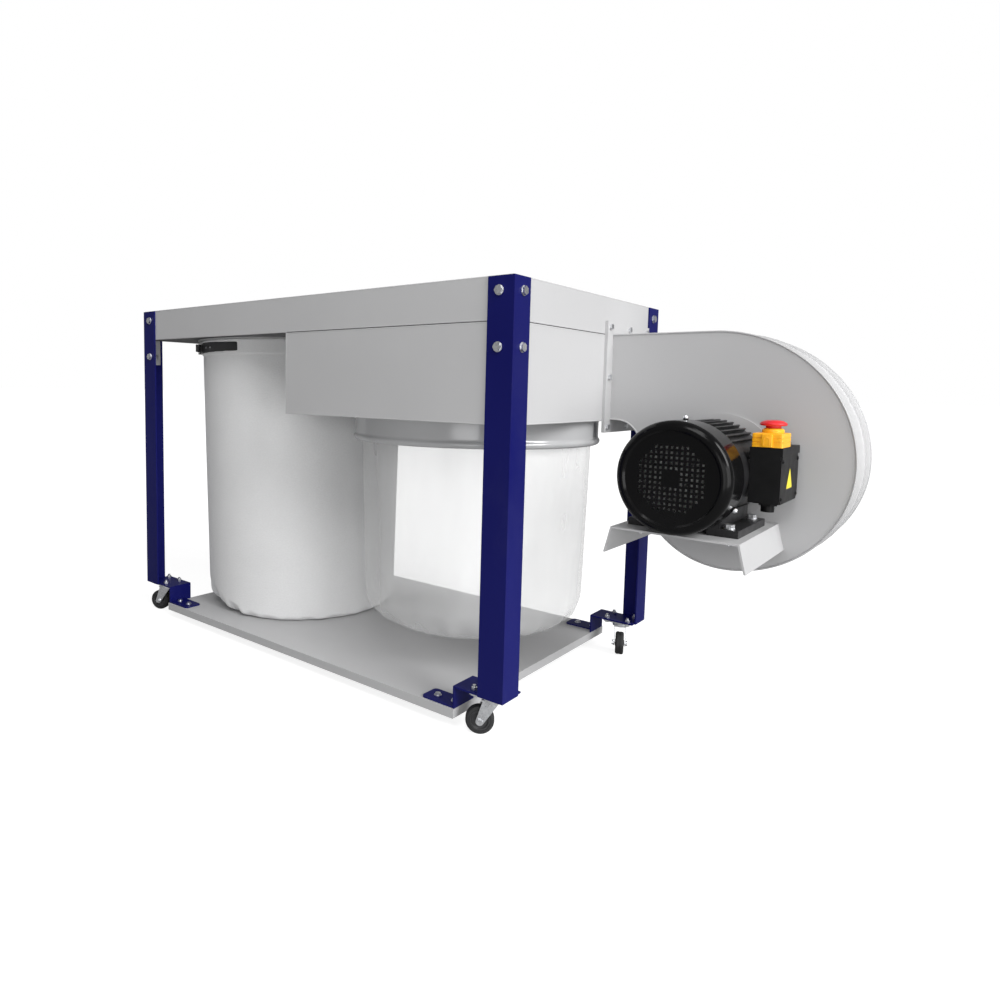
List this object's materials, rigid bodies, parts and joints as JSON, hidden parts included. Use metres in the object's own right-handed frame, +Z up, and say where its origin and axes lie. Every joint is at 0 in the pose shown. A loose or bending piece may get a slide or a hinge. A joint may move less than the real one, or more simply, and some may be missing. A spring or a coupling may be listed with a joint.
{
  "type": "dust collector",
  "caption": "Mobile bag dust collector: flat canopy and settling box on angle legs, felt filter bag, clear dust bag, tray on casters, side blower with motor and switch.",
  "frame": {"origin": "on the floor under the middle of the whole machine's bounding box", "axes": "+X along the machine towards the blower, -Y the motor side, +Z up"},
  "size_m": [1.532, 0.61, 0.775],
  "materials": {
    "grey_paint": "smooth light grey powder coat, satin",
    "scroll_paint": "smooth light grey powder coat, satin",
    "collar_grey": "darker grey semi-gloss paint",
    "navy_paint": "navy blue semi-gloss powder coat",
    "felt": "off-white polyester needle felt",
    "clear_bag": "clear polyethylene film",
    "black_strap": "black painted steel band and lever",
    "spring_steel": "plain spring steel",
    "zinc": "bright zinc-plated steel",
    "tyre_rubber": "hard black rubber wheel",
    "galvanised": "galvanised sheet steel",
    "shaft_steel": "ground steel",
    "fan_plastic": "black moulded plastic",
    "motor_black": "cast aluminium painted satin black",
    "stator_iron": "varnished laminated iron and copper",
    "cover_black": "gloss black painted pressed steel",
    "box_black": "satin black moulded plastic",
    "flap_yellow": "yellow-orange moulded plastic",
    "stop_red": "red moulded plastic",
    "start_green": "green moulded plastic"
  },
  "bodies": {
    "frame": {"canopy": "grey_paint", "canopy_floor": "grey_paint", "settling_box": "grey_paint", "filter_collar": "grey_paint", "bag_collar": "collar_grey", "filter_bag": "felt", "clamp_band": "black_strap", "dust_bag": "clear_bag", "snap_ring": "spring_steel", "base_tray": "grey_paint", "leg_front_left": "navy_paint", "leg_front_right": "navy_paint", "leg_back_left": "navy_paint", "leg_back_right": "navy_paint", "bracket_front_left": "navy_paint", "bracket_front_right": "navy_paint", "bracket_back_left": "navy_paint", "bracket_back_right": "navy_paint", "caster_plate_front_left": "zinc", "caster_plate_front_right": "zinc", "caster_plate_back_left": "zinc", "caster_plate_back_right": "zinc", "leg_bolts": "zinc", "bracket_screws": "zinc", "caster_bolts": "zinc", "box_flange": "grey_paint", "duct_flange": "grey_paint", "flange_bolts": "zinc", "scroll_front": "scroll_paint", "scroll_back": "scroll_paint", "scroll_band": "scroll_paint", "inlet_spigot": "galvanised", "motor_frame": "motor_black", "stator": "stator_iron", "shield_drive": "motor_black", "shield_fan": "motor_black", "fan_cover": "cover_black", "motor_shelf": "grey_paint", "motor_bolts": "zinc", "terminal_box": "box_black", "cable_gland": "box_black", "switch_plinth": "box_black"},
    "clamp_lever": {"clamp_lever": "black_strap"},
    "fork_front_left": {"caster_fork_front_left": "zinc"},
    "wheel_front_left": {"wheel_front_left": "tyre_rubber"},
    "fork_front_right": {"caster_fork_front_right": "zinc"},
    "wheel_front_right": {"wheel_front_right": "tyre_rubber"},
    "fork_back_left": {"caster_fork_back_left": "zinc"},
    "wheel_back_left": {"wheel_back_left": "tyre_rubber"},
    "fork_back_right": {"caster_fork_back_right": "zinc"},
    "wheel_back_right": {"wheel_back_right": "tyre_rubber"},
    "rotor": {"impeller": "galvanised", "motor_shaft": "shaft_steel", "cooling_fan": "fan_plastic"},
    "switch_cover": {"switch_cover": "flap_yellow"},
    "stop_button": {"stop_button": "stop_red"},
    "off_button": {"off_button": "stop_red"},
    "start_button": {"start_button": "start_green"}
  },
  "joints": [
    {"name": "swivel_front_left", "type": "hinge", "parent": "frame", "child": "fork_front_left", "pos_m": [-0.719, -0.266, 0.06], "axis": [0, 0, 1], "continuous": true},
    {"name": "roll_front_left", "type": "hinge", "parent": "fork_front_left", "child": "wheel_front_left", "pos_m": [-0.73713, -0.27445, 0.025], "axis": [0.4226, -0.9063, 0], "continuous": true},
    {"name": "swivel_front_right", "type": "hinge", "parent": "frame", "child": "fork_front_right", "pos_m": [0.297, -0.266, 0.06], "axis": [0, 0, 1], "continuous": true},
    {"name": "roll_front_right", "type": "hinge", "parent": "fork_front_right", "child": "wheel_front_right", "pos_m": [0.28023, -0.27689, 0.025], "axis": [0.5446, -0.8387, 0], "continuous": true},
    {"name": "swivel_back_left", "type": "hinge", "parent": "frame", "child": "fork_back_left", "pos_m": [-0.719, 0.266, 0.06], "axis": [0, 0, 1], "continuous": true},
    {"name": "roll_back_left", "type": "hinge", "parent": "fork_back_left", "child": "wheel_back_left", "pos_m": [-0.73779, 0.27284, 0.025], "axis": [-0.342, -0.9397, 0], "continuous": true},
    {"name": "swivel_back_right", "type": "hinge", "parent": "frame", "child": "fork_back_right", "pos_m": [0.297, 0.266, 0.06], "axis": [0, 0, 1], "continuous": true},
    {"name": "roll_back_right", "type": "hinge", "parent": "fork_back_right", "child": "wheel_back_right", "pos_m": [0.30449, 0.24746, 0.025], "axis": [0.9272, 0.3746, 0], "continuous": true},
    {"name": "rotor_spin", "type": "hinge", "parent": "frame", "child": "rotor", "pos_m": [0.554, 0.064, 0.461], "axis": [0, 1, 0], "continuous": true},
    {"name": "switch_cover_hinge", "type": "hinge", "parent": "frame", "child": "switch_cover", "pos_m": [0.6575, 0.009, 0.5124], "axis": [-1, 0, 0], "range_deg": [0, 95]},
    {"name": "stop_press", "type": "slide", "parent": "switch_cover", "child": "stop_button", "axis": [0, 0, -1], "range_m": [0, 0.003], "stiffness_N_per_m": 400},
    {"name": "off_press", "type": "slide", "parent": "frame", "child": "off_button", "axis": [0, 0, -1], "range_m": [0, 0.003], "stiffness_N_per_m": 200},
    {"name": "start_press", "type": "slide", "parent": "frame", "child": "start_button", "axis": [0, 0, -1], "range_m": [0, 0.003], "stiffness_N_per_m": 200},
    {"name": "clamp_lever_hinge", "type": "hinge", "parent": "frame", "child": "clamp_lever", "pos_m": [-0.66018, -0.2002, 0.683], "axis": [0, 0, -1], "range_deg": [0, 110]}
  ],
  "couplings": [
    {"joint": "off_press", "follows": "stop_press", "ratio": 1}
  ]
}
